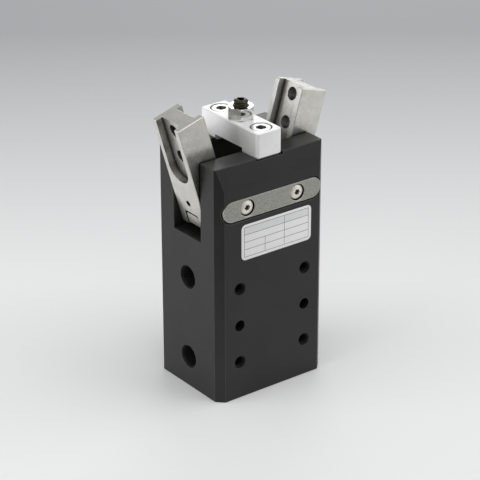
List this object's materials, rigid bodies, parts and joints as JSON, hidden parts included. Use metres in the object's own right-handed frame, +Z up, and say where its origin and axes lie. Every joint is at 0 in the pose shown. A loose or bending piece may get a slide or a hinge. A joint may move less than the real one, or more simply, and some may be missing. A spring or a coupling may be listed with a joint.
{
  "type": "pneumatic angular gripper",
  "caption": "Pneumatic angular gripper: a cylinder in a slotted black housing lifts a double rack that swings two jaws apart under a bridge with a stop screw.",
  "frame": {"origin": "centre of the housing's base, on the face that it stands on", "axes": "+Z up the cylinder towards the jaws, X the way the jaws open with the air ports on -X, -Y the front face with the plate"},
  "size_m": [0.0736, 0.042, 0.1217],
  "materials": {
    "black_anodised": "satin black anodised",
    "blasted_aluminium": "fine blasted, natural anodised",
    "jaw_steel": "ground, nickel plated",
    "hardened_steel": "hardened, ground",
    "plate_steel": "matt rolled stainless",
    "bright_zinc": "bright zinc",
    "black_oxide": "black oxide",
    "bearing_bronze": "plain bronze",
    "turned_aluminium": "turned",
    "seal_rubber": "nitrile rubber",
    "bumper_rubber": "cast polyurethane",
    "magnet": "bonded magnet"
  },
  "bodies": {
    "housing": {"housing": "black_anodised", "pin_cover_plate": "plate_steel", "plate_screws": "bright_zinc", "bridge_bar": "blasted_aluminium", "bridge_screws": "bright_zinc", "stop_screw": "black_oxide", "lock_nut": "bright_zinc", "front_pivot_bushes": "bearing_bronze", "rear_pivot_bushes": "bearing_bronze", "rod_bush": "bearing_bronze", "rod_seal": "seal_rubber", "upper_bumper": "bumper_rubber", "lower_bumper": "bumper_rubber", "end_cover": "turned_aluminium", "end_cover_seal_ring": "seal_rubber", "retaining_ring": "black_oxide"},
    "rod": {"rack_rod": "hardened_steel", "piston": "turned_aluminium", "piston_seals": "seal_rubber", "magnet_ring": "magnet", "piston_screw": "bright_zinc"},
    "left_jaw": {"left_jaw": "jaw_steel", "left_toothed_quadrant": "hardened_steel", "left_quadrant_pins": "hardened_steel", "left_pivot_pin": "hardened_steel", "left_pin_lock_screw": "black_oxide"},
    "right_jaw": {"right_jaw": "jaw_steel", "right_toothed_quadrant": "hardened_steel", "right_quadrant_pins": "hardened_steel", "right_pivot_pin": "hardened_steel", "right_pin_lock_screw": "black_oxide"}
  },
  "joints": [
    {"name": "rod_slide", "type": "slide", "parent": "housing", "child": "rod", "axis": [0, 0, 1], "range_m": [-0.00288, 0.01283]},
    {"name": "left_jaw_swing", "type": "hinge", "parent": "housing", "child": "left_jaw", "pos_m": [-0.02, 0, 0.08398], "axis": [0, -1, 0], "range_deg": [-16.6, 73.6]},
    {"name": "right_jaw_swing", "type": "hinge", "parent": "housing", "child": "right_jaw", "pos_m": [0.02, 0, 0.08398], "axis": [0, 1, 0], "range_deg": [-16.6, 73.6]}
  ],
  "couplings": [
    {"joint": "left_jaw_swing", "follows": "rod_slide", "rad_per_m": 100},
    {"joint": "right_jaw_swing", "follows": "rod_slide", "rad_per_m": 100}
  ]
}
